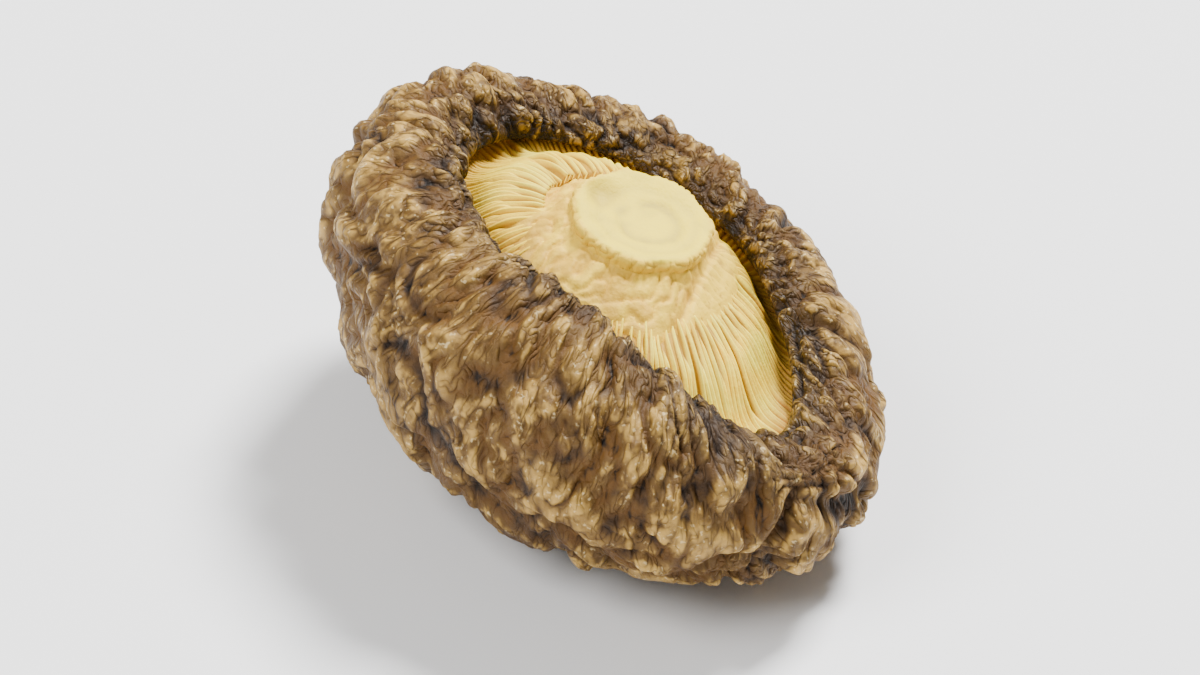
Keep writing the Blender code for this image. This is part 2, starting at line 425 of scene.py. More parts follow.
def paint(red: float, green: float, blue: float) -> Colour:
    """A colour from its screen values of 0 to 255."""

    def linear(value: float) -> float:
        """Takes one screen value to linear light."""
        share = value / 255.0
        return share / 12.92 if share <= 0.04045 else ((share + 0.055) / 1.055) ** 2.4

    return (linear(red), linear(green), linear(blue), 1.0)


@dataclass(frozen=True)
class SkinFinish:
    """Dry, leathery brown skin: dark creases, tan ridges, and a darker wall inside the rim.

    The creases, the wall, a stretch of the near lip and the crown are darkened as painted shade;
    the tan ridge tops are partly painted highlight, and the flecks are painted glints.

    The sizes of its noise, and the size and reach of its swirls, are in millimetres.
    """

    crease: Colour = paint(20, 11, 4)
    hollow: Colour = paint(48, 30, 10)
    ridge: Colour = paint(102, 73, 28)
    pale_and_highlit: Colour = paint(192, 152, 74)
    glint_fleck: Colour = paint(240, 214, 158)
    amber: Colour = paint(106, 70, 18)
    wall_shade: Colour = paint(27, 16, 6)
    crown: Colour = paint(68, 45, 18)
    grey: Colour = paint(190, 182, 150)
    cloud_size: float = 5.0
    patch_size: float = 1.2
    coarse_size: float = 1.25
    coarse_swirl: tuple[float, float] = (1.8, 0.7)
    fine_size: float = 0.6
    fine_swirl: tuple[float, float] = (0.9, 0.35)
    glint_size: float = 0.34
    grain_size: float = 0.3
    relief_depth: float = 0.34 * MM
    sheen: float = 0.3

    def material(self) -> bpy.types.Material:
        """Builds the skin's material."""
        web = NodeWeb("dried_cap_skin")
        ridge = web.attribute("ridge")
        wall_shade = web.attribute("wall_shade")
        crown = web.attribute("crown")
        plate = web.attribute("plate")
        skin = web.attribute_place("skin")
        place = web.place()
        cloud = web.noise(place, self.cloud_size, 3.0)
        grain = web.noise(place, self.grain_size, 5.0, 0.65)
        coarse = web.crinkle(web.swirled(skin, *self.coarse_swirl), self.coarse_size)
        fine = web.crinkle(web.swirled(skin, *self.fine_swirl), self.fine_size)
        small = coarse * 0.5 + fine * 0.34 + grain * 0.3
        height = ridge * 0.72 + small * 0.4 - 0.06
        # Painted shade: the colour darkens from ridge to hollow to crease as the relief's height falls.
        colour = web.mix(height.ramp(0.2, 0.46), self.crease, self.hollow)
        warm = cloud.ramp(0.38, 0.58) * (1.0 - height.ramp(0.5, 0.8))
        colour = web.mix(warm * height.ramp(0.15, 0.4) * 0.75, colour, self.amber)
        colour = web.mix(height.ramp(0.42, 0.7), colour, self.ridge)
        # Paler ridge tops and calm plates: partly the skin's own pale patches, partly painted highlight.
        highlit_patches = web.noise(place, self.patch_size).ramp(0.36, 0.56)
        colour = web.mix(height.ramp(0.66, 0.9) * highlit_patches, colour, self.pale_and_highlit)
        colour = web.mix(plate * height.ramp(0.5, 0.8) * 0.4, colour, self.pale_and_highlit)
        colour = web.mix(cloud.ramp(0.48, 0.3) * 0.4, colour, self.grey, "MULTIPLY")
        # Painted shade: the crown, low by the floor, is darker.
        colour = web.mix(crown * (0.85 - height * 0.5), colour, self.crown)
        # Painted shade inside the rolled rim and along a stretch of the near lip.
        colour = web.mix(wall_shade * (1.0 - height * 0.55), colour, self.wall_shade)
        # Painted glints: pale flecks on the ridge tops.
        glints = web.noise(place, self.glint_size, 1.0).ramp(0.62, 0.72) * height.ramp(0.6, 0.85)
        colour = web.mix(glints * 0.55, colour, self.glint_fleck)
        return web.dress(
            Base_Color=colour,
            Roughness=(0.7 - height * 0.22 + (grain - 0.5) * 0.3).clamped(),
            Specular_IOR_Level=self.sheen,
            Normal=web.bump(small, self.relief_depth),
        )


@dataclass(frozen=True)
class GillFinish:
    """Dry cream-yellow gills, with painted shade: deeper yellow between the blades and ochre under the
    lip.

    The sizes of its noise are in millimetres.
    """

    gap: Colour = paint(188, 146, 40)
    tan: Colour = paint(218, 175, 48)
    blade: Colour = paint(255, 219, 48)
    pale: Colour = paint(255, 234, 76)
    shade: Colour = paint(158, 100, 26)
    cloud_size: float = 3.4
    fine_size: float = 0.35
    relief_depth: float = 0.06 * MM
    roughness: float = 0.6
    sheen: float = 0.3

    def material(self) -> bpy.types.Material:
        """Builds the gills' material."""
        web = NodeWeb("dried_gills")
        crest = web.attribute("crest")
        under_lip = web.attribute("under_lip")
        tone = web.attribute("tone")
        place = web.place()
        cloud = web.noise(place, self.cloud_size, 3.0)
        fine = web.noise(place, self.fine_size, 4.0, 0.6)
        edge = web.mix(cloud.ramp(0.38, 0.62), self.blade, self.pale)
        edge = web.mix(tone * 0.4, edge, self.tan)
        # Painted shade: the floor between the blades, and the crease beside the stem, take the darker gap
        # colour.
        colour = web.mix(crest.ramp(0.05, 0.85), self.gap, edge)
        # Painted shade of the lip over the gills.
        colour = web.mix(under_lip * (0.55 + cloud * 0.45), colour, self.shade)
        return web.dress(
            Base_Color=colour,
            Roughness=self.roughness,
            Specular_IOR_Level=self.sheen,
            Normal=web.bump(fine, self.relief_depth),
        )


@dataclass(frozen=True)
class StemFinish:
    """Dry fibrous cream flesh with a paler, ringed cut and a tan, crumpled foot.

    Painted shade darkens its folds, the crease past the stem, the cut's dent and the spread's left
    side.

    The sizes of its noise are in millimetres.
    """

    side: Colour = paint(248, 206, 56)
    crumple: Colour = paint(222, 176, 50)
    fold: Colour = paint(168, 124, 38)
    shade: Colour = paint(164, 124, 50)
    cut: Colour = paint(255, 226, 50)
    ring: Colour = paint(208, 184, 66)
    cloud_size: float = 1.8
    fine_size: float = 0.3
    relief_depth: float = 0.08 * MM
    roughness: float = 0.62
    sheen: float = 0.3

    def material(self) -> bpy.types.Material:
        """Builds the stem's material."""
        web = NodeWeb("dried_stem")
        cut = web.attribute("cut")
        ring = web.attribute("ring")
        ridge = web.attribute("ridge")
        foot = web.attribute("foot")
        shaded = web.attribute("shaded")
        place = web.place()
        fine = web.noise(place, self.fine_size, 4.0, 0.6)
        cloud = web.noise(place, self.cloud_size, 3.0)
        side = web.mix(foot * cloud.ramp(0.34, 0.6), self.side, self.crumple)
        side = web.mix(shaded * (0.6 + cloud * 0.4), side, self.shade)
        # Painted shade in the folds between streaks and crumples, and deeper in the crease past the stem.
        side = web.mix((1.0 - (ridge + (fine - 0.5) * 0.5).ramp(0.02, 0.4)) * 0.6, side, self.fold)
        # The ring mark holds the cut's own rings and the dent's painted shade.
        end = web.mix((ring * 0.8 + cloud.ramp(0.48, 0.7) * 0.3).clamped(), self.cut, self.ring)
        return web.dress(
            Base_Color=web.mix(cut, side, end),
            Roughness=self.roughness,
            Specular_IOR_Level=self.sheen,
            Normal=web.bump(fine, self.relief_depth),
        )


def as_mesh(name: str, bm: bmesh.types.BMesh) -> bpy.types.Mesh:
    """Turns an edited mesh into one that an object can hold."""
    mesh = bpy.data.meshes.new(name)
    bm.to_mesh(mesh)
    bm.free()
    return mesh


def add_object(name: str, held: bpy.types.ID) -> bpy.types.Object:
    """Puts an object that holds a mesh, a light or a camera in the scene."""
    added = bpy.data.objects.new(name, held)
    bpy.context.scene.collection.objects.link(added)
    return added


def ring_section(profile: list[Triple], steps: int) -> bpy.types.Mesh:
    """Turns a profile round Z into a closed cage, and smooths it twice.

    Args:
        profile: Radius, height and place along the profile for each point.
        steps: How many steps a whole turn has.

    Returns:
        A mesh whose points keep their place along the profile as "along".
    """
    bm = bmesh.new()
    along = bm.verts.layers.float.new("along")
    points = []
    for radius, height, value in profile:
        point = bm.verts.new((radius, 0.0, height))
        point[along] = value
        points.append(point)
    edges = [bm.edges.new(pair) for pair in zip(points[:-1], points[1:])]
    bmesh.ops.spin(
        bm,
        geom=points + edges,
        cent=(0.0, 0.0, 0.0),
        axis=(0.0, 0.0, 1.0),
        angle=math.tau,
        steps=steps,
        use_merge=True,
    )
    bmesh.ops.remove_doubles(bm, verts=bm.verts[:], dist=WELD)
    bmesh.ops.recalc_face_normals(bm, faces=bm.faces[:])
    cage = as_mesh("cage", bm)
    piece = add_object("cage", cage)
    smooth = piece.modifiers.new("smooth", "SUBSURF")
    smooth.levels = 2
    smooth.render_levels = 2
    bpy.context.view_layer.update()
    graph = bpy.context.evaluated_depsgraph_get()
    fine = bpy.data.meshes.new_from_object(piece.evaluated_get(graph))
    bpy.data.objects.remove(piece)
    bpy.data.meshes.remove(cage)
    return fine


def keep_numbers(mesh: bpy.types.Mesh, name: str, values: list[float]) -> None:
    """Stores a number at each point of a mesh, for its material to read."""
    store = mesh.attributes.new(name, "FLOAT", "POINT")
    store.data.foreach_set("value", values)


def finish_piece(
    name: str, mesh: bpy.types.Mesh, material: bpy.types.Material, node: str
) -> None:
    """Links a finished piece that stands for a node of the frame.

    Args:
        name: The piece's name.
        mesh: Its mesh, placed in the frame.
        material: Its finish.
        node: The node that it stands for.
    """
    mesh.name = name
    mesh.polygons.foreach_set("use_smooth", [True] * len(mesh.polygons))
    mesh.materials.clear()
    mesh.materials.append(material)
    mesh.update()
    piece = add_object(name, mesh)
    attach(piece, ROOT)
    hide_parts(node)
    log.info("%s: %d faces", name, len(mesh.polygons))


@dataclass
class Cap:
    """The brown cap: crown, rolled rim, and the bed that is hidden under the gills.

    Sizes of the skin's relief come largest first. Ranges along the profile are in zones. The tones
    weigh what the finish reads as 0 in creases and 1 on ridges.
    """

    form: Form = FORM
    finish: SkinFinish = SkinFinish()
    steps: int = 120
    crown_steps: int = 26
    roll_steps: int = 18
    roll_end: float = math.radians(183.0)
    groove: float = 14.9 * MM
    groove_roof: float = 0.3 * MM
    groove_wall: float = 1.0 * MM
    groove_round: float = 0.6 * MM
    groove_zones: Range = (2.08, 2.16)
    bed_middle: float = 0.75
    bed_zones: Range = (3.0, 2.3)
    skin_end: float = 2.05
    fold_size: float = 8.0 * MM
    fold_depth: float = 0.55 * MM
    crease_cell: float = 3.9 * MM
    crease_depth: float = 0.85 * MM
    crease_stretch: Vector = field(default_factory=lambda: Vector((0.75, 0.75, 1.1)))
    crease_width: float = 0.42
    crease_level: float = 0.45
    pleat_cell: float = 2.9 * MM
    pleat_stretch: float = 0.34
    pleat_depth: float = 0.5 * MM
    pleats_start: Range = (1.1, 1.5)
    warp_size: float = 5.0 * MM
    warp: float = 1.3 * MM
    pleat_warp: float = 0.45 * MM
    ridge_cell: float = 2.1 * MM
    ridge_round: float = 1.4
    ridge_depth: float = 0.52 * MM
    ridge_level: float = 0.5
    wrinkle_cell: float = 1.0 * MM
    wrinkle_depth: float = 0.26 * MM
    wrinkle_level: float = 0.6
    curl_size: float = 4.2 * MM
    curl: float = 1.3 * MM
    fine_stretch: float = 0.68
    plate_size: float = 4.6 * MM
    plate_edge: Range = (-0.05, 0.3)
    plate_top: Range = (0.3, 0.8)
    rough: float = 1.1
    calm: float = 0.6
    pole_even: Range = (0.0, 0.2)
    lip_even: Range = (1.75, 2.0)
    rest_clear: float = 3.0 * MM
    rest_fade: float = 4.0 * MM
    crease_tone: float = 0.22
    ridge_tone: float = 0.5
    wrinkle_tone: float = 0.28
    ridge_tone_rises: Range = (0.05, 0.7)
    calm_tone: float = 0.62
    calm_hold: float = 0.7
    even_tone: float = 0.5
    # Where painted shade falls inside the rim, and along a stretch of the near lip.
    wall_rises: Range = (1.35, 1.8)
    dark_azimuth: float = -74.0
    dark_half_width: float = 32.0
    dark_share: float = 0.85
    dark_rises: Range = (1.2, 1.46)
    # Where painted shade darkens the crown, low by the floor.
    crown_falls: Range = (0.36, 0.94)

    def profile(self) -> list[Triple]:
        """Radius, height and zone from the middle of the bed to the middle of the crown."""
        form = self.form
        points = []
        for i in range(self.crown_steps):
            share = i / self.crown_steps
            turn = math.pi / 2 * share
            height = form.crown_depth * (1.0 - math.cos(turn))
            points.append((form.cap_radius * math.sin(turn), height, share))
        centre = form.cap_radius - form.roll_half_width
        for i in range(self.roll_steps + 1):
            turn = self.roll_end * i / self.roll_steps
            radius = centre + form.roll_half_width * math.cos(turn)
            foot = form.crown_depth if turn < math.pi / 2 else form.lip_height
            height = foot + (form.rim_height - foot) * math.sin(turn)
            points.append((radius, height, 1.0 + i / self.roll_steps))
        points.append((form.gill_outer, points[-1][1] + self.groove_roof, self.groove_zones[0]))
        foot = form.bed_height(self.groove) + self.groove_wall
        points.append((self.groove, foot, self.groove_zones[1]))
        bed = (self.groove - self.groove_round, form.gill_outer * self.bed_middle, form.gill_inner, 0.0)
        for radius in bed:
            zone = lerp(*self.bed_zones, radius / self.groove)
            points.append((radius, form.bed_height(radius), zone))
        return points[::-1]

    @property
    def roll_length(self) -> float:
        """Length of the rolled rim's section."""
        form = self.form
        return 2.0 * form.rim_height - form.crown_depth - form.lip_height + 2.0 * form.roll_half_width

    def skin_place(self, point: Vector, zone: float) -> Vector:
        """Where a point lies on the skin as if the rim were unrolled, narrowed across the rim.

        Args:
            point: The point of the turned form.
            zone: Its place along the profile.

        Returns:
            A place whose noise runs in pleats across the rim.
        """
        if zone < 1.0:
            return Vector((point.x, point.y, (point.z - self.form.crown_depth) * self.fine_stretch))
        return self.unrolled(point, zone, self.fine_stretch)

    def unrolled(self, point: Vector, zone: float, stretch: float) -> Vector:
        """A point of the rim as if the rim were unrolled into a tube, stretched across the rim."""
        ring = around(math.atan2(point.y, point.x), self.form.cap_radius)
        return ring + Vector((0.0, 0.0, (zone - 1.0) * self.roll_length * stretch))

    def large_relief(self, point: Vector, zone: float) -> Triple:
        """The folds, the larger creases outside the rim and the pleats inside it.

        Args:
            point: The point of the turned form.
            zone: Its place along the profile.

        Returns:
            How far the skin stands out, 0 in a crease to 1 between creases, and the same with the
            pleats taking over inside the rim.
        """
        push = swirl(point / self.warp_size)
        folds = self.fold_depth * noise.noise(point / self.fold_size)
        warped = point + self.warp * push
        crease = swelling(warped * self.crease_stretch, self.crease_cell, self.crease_width)
        run = self.unrolled(point, zone, self.pleat_stretch)
        pleat = swelling(run + self.pleat_warp * push, self.pleat_cell, self.crease_width)
        inner = smoothstep(*self.pleats_start, zone)
        outer_height = self.crease_depth * (crease - self.crease_level)
        inner_height = self.pleat_depth * (pleat - self.crease_level)
        return folds + lerp(outer_height, inner_height, inner), crease, lerp(crease, pleat, inner)

    def relief(self, point: Vector, zone: float) -> Triple:
        """The wrinkled skin's height, how ridged it is and how calm.

        Args:
            point: The point of the turned form.
            zone: Its place along the profile.

        Returns:
            How far the skin stands out, 0 in creases to 1 on ridges, and 1 on calm plates.
        """
        large, crease, top = self.large_relief(point, zone)
        curl = swirl(point / self.curl_size + CURL_PLACE)
        place = self.skin_place(point, zone) + curl * self.curl
        ridge = crinkle(place, self.ridge_cell) ** self.ridge_round
        wrinkle = crinkle(place + curl * self.wrinkle_cell, self.wrinkle_cell)
        calm = smoothstep(*self.plate_edge, noise.noise(point / self.plate_size + PLATE_PLACE))
        calm *= smoothstep(*self.plate_top, crease)
        strength = lerp(self.rough, self.calm, calm)
        middle = self.ridge_depth * (ridge - self.ridge_level) * strength
        small = self.wrinkle_depth * (wrinkle - self.wrinkle_level) * strength
        height = (large + middle + small) * between(zone, self.pole_even, self.lip_even)
        ridged = self.crease_tone * top + self.wrinkle_tone * wrinkle
        ridged += self.ridge_tone * smoothstep(*self.ridge_tone_rises, ridge)
        return height, lerp(ridged, max(ridged, self.calm_tone), self.calm_hold * calm), calm

    def even_near_rest(self, settled: Vector) -> float:
        """0 over the resting spot and 1 away from it."""
        if settled.z > self.form.crown_depth / 2:
            return 1.0
        away = math.hypot(settled.x, settled.y)
        return smoothstep(self.rest_clear, self.rest_clear + self.rest_fade, away)

    def build(self) -> None:
        """Builds the cap and dresses it."""
        mesh = ring_section(self.profile(), self.steps)
        zones = [item.value for item in mesh.attributes["along"].data]
        normals = [vertex.normal.copy() for vertex in mesh.vertices]
        marks = {name: [] for name in ("ridge", "wall_shade", "crown", "plate")}
        skins = []
        for vertex, normal, zone in zip(mesh.vertices, normals, zones):
            point = vertex.co.copy()
            azimuth = math.atan2(point.y, point.x)
            skins.extend(self.skin_place(point, zone) / MM)
            ridge, calm = self.even_tone, 0.0
            if zone <= self.skin_end:
                push, lift = self.form.rim_bend(azimuth, zone)
                outward = Vector((point.x, point.y, 0.0)).normalized()
                height, ridge, calm = self.relief(point, zone)
                height *= self.even_near_rest(self.form.settle(point))
                vertex.co = point - outward * push + Vector((0.0, 0.0, lift)) + normal * height
            vertex.co = self.form.settle(vertex.co)
            # Painted shade for the finish: inside the rim, and along a stretch of the near lip.
            dark = self.dark_share * felt(math.degrees(azimuth), self.dark_azimuth, self.dark_half_width)
            wall_shade = smoothstep(*self.wall_rises, zone)
            marks["ridge"].append(ridge)
            marks["wall_shade"].append(max(wall_shade, dark * smoothstep(*self.dark_rises, zone)))
            # Painted shade on the crown, low by the floor.
            marks["crown"].append(1.0 - smoothstep(*self.crown_falls, zone))
            marks["plate"].append(calm)
        for name, values in marks.items():
            keep_numbers(mesh, name, values)
        mesh.attributes.new("skin", "FLOAT_VECTOR", "POINT").data.foreach_set("vector", skins)
        mesh.attributes.remove(mesh.attributes["along"])
        finish_piece("wrinkled_cap", mesh, self.finish.material(), "cap")


@dataclass(frozen=True)
class BladeNoise:
    """Smooth noise along the gills' blades.

    Step sets how unlike neighbouring blades are, length how fast it changes along a blade, and row
    keeps it apart from the others.
    """

    step: float
    length: float
    row: float

    def at(self, blade: float, radius: float) -> float:
        """The noise on a blade at a distance from the axis, from about -1 to 1."""
        return noise.noise(Vector((blade * self.step, radius / self.length, self.row)))


@dataclass(frozen=True)
class LipShade:
    """How much further in the lip's shade falls round an azimuth in degrees."""

    azimuth: float
    half_width: float
    reach: float

    def at(self, azimuth: float) -> float:
        """The reach that it adds at an azimuth in degrees."""
        return self.reach * felt(azimuth, self.azimuth, self.half_width)


@dataclass
class Gills:
    """The ring of thin radial gills between the stem and the lip.

    Corners give the points across each blade, in shares of the pitch, and the middle two carry its
    edge. Bend and wobble are in shares of the pitch too.
    """

    form: Form = FORM
    finish: GillFinish = GillFinish()
    pairs: int = 84
    rings: int = 34
    corners: tuple[float, ...] = (-0.36, -0.2, 0.2, 0.36)
    edge_corners: tuple[int, int] = (1, 2)
    bend: float = 1.6
    bend_noise: BladeNoise = BladeNoise(0.12, 4.0 * MM, 2.0)
    wobble: float = 0.22
    wobble_noise: BladeNoise = BladeNoise(2.3, 1.4 * MM, 8.0)
    wave_depth: float = 0.3 * MM
    wave_size: float = 3.2 * MM
    uneven_depth: float = 0.14 * MM
    uneven_noise: BladeNoise = BladeNoise(1.7, 2.5 * MM, 0.0)
    flute_depth: float = 0.3 * MM
    flute_noise: BladeNoise = BladeNoise(9.0, 9.0 * MM, 4.0)
    gap_depth: float = 0.52 * MM
    gap_start: float = 0.55
    gap_deepens: Range = (6.5 * MM, 9.5 * MM)
    gap_filled: float = 0.65
    short_start: float = 7.8 * MM
    short_spread: float = 5.0 * MM
    short_rise: float = 1.6 * MM
    short_noise: tuple[float, float] = (0.77, 5.0)
    fold_inner: float = math.radians(136.0)
    fold_outer: float = math.radians(114.0)
    fold_depth: float = 0.55 * MM
    fold_width: float = 0.55 * MM
    fold_fade: float = 0.6
    fold_shade: float = 0.5
    lip_zone: float = 1.8
    lip_cover: float = 0.2 * MM
    shade_reach: float = 1.9 * MM
    lip_shades: tuple[LipShade, ...] = (
        LipShade(-150.0, 40.0, 1.5 * MM),
        LipShade(30.0, 50.0, 0.9 * MM),
    )
    tone_range: Range = (-0.1, 0.5)
    tone_noise: BladeNoise = BladeNoise(3.7, 5.0 * MM, 6.5)

    @property
    def blades(self) -> int:
        """How many blades there are, full and short."""
        return 2 * self.pairs

    def fold(self, radius: float, azimuth: float) -> float:
        """How strongly the crease beside the stem is felt."""
        form = self.form
        share = (radius - form.gill_inner) / (form.gill_outer - form.gill_inner)
        away = azimuth - lerp(self.fold_inner, self.fold_outer, share)
        away = ((away + math.pi) % math.tau - math.pi) * radius
        return bell(away, self.fold_width) * (1.0 - self.fold_fade * share)

    def blade_share(self, blade: int, radius: float) -> float:
        """How far a blade stands out of the floor between blades.

        Args:
            blade: The blade's number, even for one that reaches the stem.
            radius: Distance from the axis.

        Returns:
            1 for its full depth and 0 where a short blade hasn't started.
        """
        if blade % 2 == 0:
            return 1.0
        step, row = self.short_noise
        start = self.short_start + self.short_spread * noise.noise(Vector((blade * step, row, 0.0)))
        return smoothstep(start, start + self.short_rise, radius)

    def top_height(self, radius: float, azimuth: float, blade: int) -> float:
        """Height of a blade's edge: the form's own, unevenly waved and pressed in along the crease."""
        wave = self.wave_depth * noise.noise(around(azimuth, radius) / self.wave_size)
        uneven = self.uneven_depth * self.uneven_noise.at(blade, radius)
        flute = self.flute_depth * self.flute_noise.at(azimuth, radius)
        fold = self.fold_depth * self.fold(radius, azimuth)
        return self.form.gill_top(radius) + wave + uneven - fold + flute

    def top_point(self, sample: int, radius: float) -> tuple[Vector, dict[str, float]]:
        """A point of the gills' top in the upright mushroom.

        Args:
            sample: The point's number round the ring.
            radius: Distance from the axis.

        Returns:
            The point, and the numbers that the finish reads there.
        """
        form = self.form
        pitch = math.tau / self.blades
        blade, corner = divmod(sample, len(self.corners))
        bend = self.bend * self.bend_noise.at(blade, radius)
        azimuth = (blade + self.corners[corner] + bend) * pitch
        share = self.blade_share(blade, radius) if corner in self.edge_corners else 0.0
        azimuth += share * pitch * self.wobble * self.wobble_noise.at(blade, radius)
        lip = form.lip_radius - form.rim_bend(azimuth, self.lip_zone)[0]
        hidden = smoothstep(lip - self.shade_reach, lip + self.lip_cover, radius)
        gap = self.gap_depth * lerp(self.gap_start, 1.0, smoothstep(*self.gap_deepens, radius))
        gap *= (1.0 - share) * (1.0 - self.gap_filled * hidden)
        height = self.top_height(radius, azimuth, blade) - gap
        reach = self.shade_reach + sum(shade.at(math.degrees(azimuth)) for shade in self.lip_shades)
        # Painted shade: crest drops in the crease beside the stem, and under_lip rises in the lip's shade.
        marks = {
            "crest": share * (1.0 - self.fold_shade * self.fold(radius, azimuth)),
            "under_lip": smoothstep(lip - reach, lip + self.lip_cover, radius),
            "tone": smoothstep(*self.tone_range, self.tone_noise.at(blade, radius)),
        }
        return form.beside_stem(around(azimuth, radius) + Vector((0.0, 0.0, height))), marks

    def build(self) -> None:
        """Builds the gills and dresses them."""
        form = self.form
        samples = self.blades * len(self.corners)
        bm = bmesh.new()
        bmesh.ops.create_grid(bm, x_segments=samples, y_segments=self.rings, size=0.5)
        layers = {name: bm.verts.layers.float.new(name) for name in ("crest", "under_lip", "tone")}
        for vertex in bm.verts:
            sample = round((vertex.co.x + 0.5) * samples) % samples
            radius = lerp(form.gill_inner, form.gill_outer, vertex.co.y + 0.5)
            vertex.co, marks = self.top_point(sample, radius)
            for name, value in marks.items():
                vertex[layers[name]] = value
        bmesh.ops.remove_doubles(bm, verts=bm.verts[:], dist=WELD)
        top = bmesh.ops.extrude_face_region(bm, geom=bm.faces[:])
        raised = [item for item in top["geom"] if isinstance(item, bmesh.types.BMVert)]
        for vertex in set(bm.verts) - set(raised):
            radius = math.hypot(vertex.co.x, vertex.co.y)
            vertex.co.z = form.bed_height(radius) + form.gap
        for vertex in bm.verts:
            vertex.co = form.settle(vertex.co)
        bmesh.ops.recalc_face_normals(bm, faces=bm.faces[:])
        mesh = as_mesh("gills", bm)
        finish_piece("fine_gills", mesh, self.finish.material(), "gills")


@dataclass
class Stem:
    """The short stem with its cut end, spreading into the gills on its near side.

    A place along its profile goes from 0 to 1 over the cut, to 2 down the side and to 3 over the
    spread. Streaks and crumples are noise with a cell, and a level that leaves the surface in place.
    The sections give shares of the stem's radius, millimetres under its tip or over its foot, and
    places along the profile.
    """

    form: Form = FORM
    finish: StemFinish = StemFinish()
    steps: int = 88
    slant: float = 0.05
    tip_section: tuple[Triple, ...] = (
        (0.0, 0.5, 0.0), (0.2, 0.48, 0.2), (0.4, 0.42, 0.4), (0.6, 0.3, 0.6), (0.78, 0.12, 0.8),
        (0.9, 0.0, 0.92), (0.98, 0.14, 1.02), (1.01, 0.36, 1.2), (1.01, 0.58, 1.45), (1.0, 0.8, 1.72),
    )
    foot_section: tuple[Triple, ...] = (
        (1.1, 1.6, 3.4), (1.08, 0.2, 4.0), (1.0, 0.0, 4.0), (0.0, 0.0, 4.0),
    )
    round_start: float = 2.6 * MM
    round_end: float = 5.0 * MM
    shoulder: float = 1.0 * MM
    skirt_steps: int = 10
    skirt_width: float = 1.0 * MM
    skirt_drop: float = 1.5 * MM
    foot_clear: float = 0.1 * MM
    cut_ends: Range = (0.94, 1.04)
    spread_starts: Range = (1.9, 2.1)
    spread_ends: Range = (3.02, 3.3)
    side_ends: Range = (3.0, 3.4)
    spread_azimuth: float = math.radians(-108.0)
    spread_near: float = 2.2 * MM
    spread_all: float = 2.5 * MM
    spread_narrow: float = 1.6
    spread_uneven: float = 0.16
    spread_lobes: float = 3.1
    spread_over: float = 0.4 * MM
    spread_under: float = 0.95 * MM
    spread_drop: Range = (0.0, 0.55)
    spread_round: float = 0.6
    fibres: tuple[Triple, ...] = ((7.0, 1.0, 0.08 * MM), (11.0, 0.0, 0.05 * MM))
    streak_round: float = 6.0
    streak_along: float = 0.8
    streak_cell: float = 0.62
    streak_depth: float = 0.14 * MM
    crumple_cell: float = 1.25
    crumple_swirl: float = 1.5 * MM
    crumple_push: float = 0.6
    crumple_depth: float = 0.34 * MM
    crumple_tone: float = 0.6
    level: float = 0.6
    shade_azimuth: float = -145.0
    shade_half_width: float = 42.0
    shade_starts: Range = (2.2, 2.9)
    crease_azimuth: float = math.radians(-17.0)
    crease_distance: float = 4.9 * MM
    crease_depth: float = 0.38 * MM
    crease_width: float = 0.32 * MM
    crease_edge: float = 0.4 * MM
    crease_shade: float = 0.6
    ring_centre: tuple[float, float] = (0.4 * MM, -0.2 * MM)
    ring_radius: float = 1.9 * MM
    ring_width: float = 0.34 * MM
    ring_depth: float = 0.13 * MM
    ring_waver: float = 0.35 * MM
    waver_round: float = 0.84
    break_round: float = 1.2
    ring_share: float = 0.75
    ring_break: float = 0.9
    outer_ring: float = 1.65
    outer_ring_width: float = 0.3 * MM
    outer_ring_share: float = 0.4
    dent_centre: tuple[float, float] = (-2.6 * MM, 1.9 * MM)
    dent_radius: float = 1.1 * MM
    dent_depth: float = 0.7 * MM
    dent_shade: float = 1.3
    lump_size: float = 1.4 * MM
    lump_depth: float = 0.14 * MM

    def profile(self) -> list[Triple]:
        """Radius, height and place along the profile, from the middle of the cut to under the foot."""
        tip = self.form.stem_height
        wide = self.form.stem_radius
        points = [(wide * share, tip - drop * MM, place) for share, drop, place in self.tip_section]
        for i in range(self.skirt_steps + 1):
            share = i / self.skirt_steps
            height = tip - self.shoulder - self.skirt_drop * share
            points.append((wide + self.skirt_width * share, height, 2.0 + share))
        foot = self.form.bed_height(self.form.gill_inner) + self.form.gap + self.foot_clear
        for share, rise, place in self.foot_section:
            points.append((wide * share, foot + rise * MM, place))
        return points

    def beyond_crease(self, point: Vector) -> float:
        """How far a point lies beyond the crease that runs past the stem on its right."""
        return point.dot(around(self.crease_azimuth, 1.0)) - self.crease_distance

    def spread_place(self, azimuth: float, share: float) -> Vector:
        """A point of the spread between the stem's side and the gills, before its relief.

        Args:
            azimuth: Direction round the stem, in radians.
            share: 0 at the stem's side and 1 at the outer edge.

        Returns:
            The point about the stem's own axis.
        """
        form = self.form
        near = 0.5 + 0.5 * math.cos(azimuth - self.spread_azimuth)
        reach = self.spread_all + self.spread_near * near**self.spread_narrow
        lobes = noise.noise((around(azimuth, 1.0) + Vector((0.0, 0.0, 0.3))) * self.spread_lobes)
        reach *= 1.0 + self.spread_uneven * lobes
        radius = form.stem_radius + reach * share
        start = form.stem_height - self.shoulder
        gills = form.gill_top(max(radius, form.gill_inner))
        edge = gills + lerp(self.spread_over, -self.spread_under, share**3)
        height = lerp(start, edge, smoothstep(*self.spread_drop, share) ** self.spread_round)
        return Vector((math.cos(azimuth) * radius, math.sin(azimuth) * radius, height))

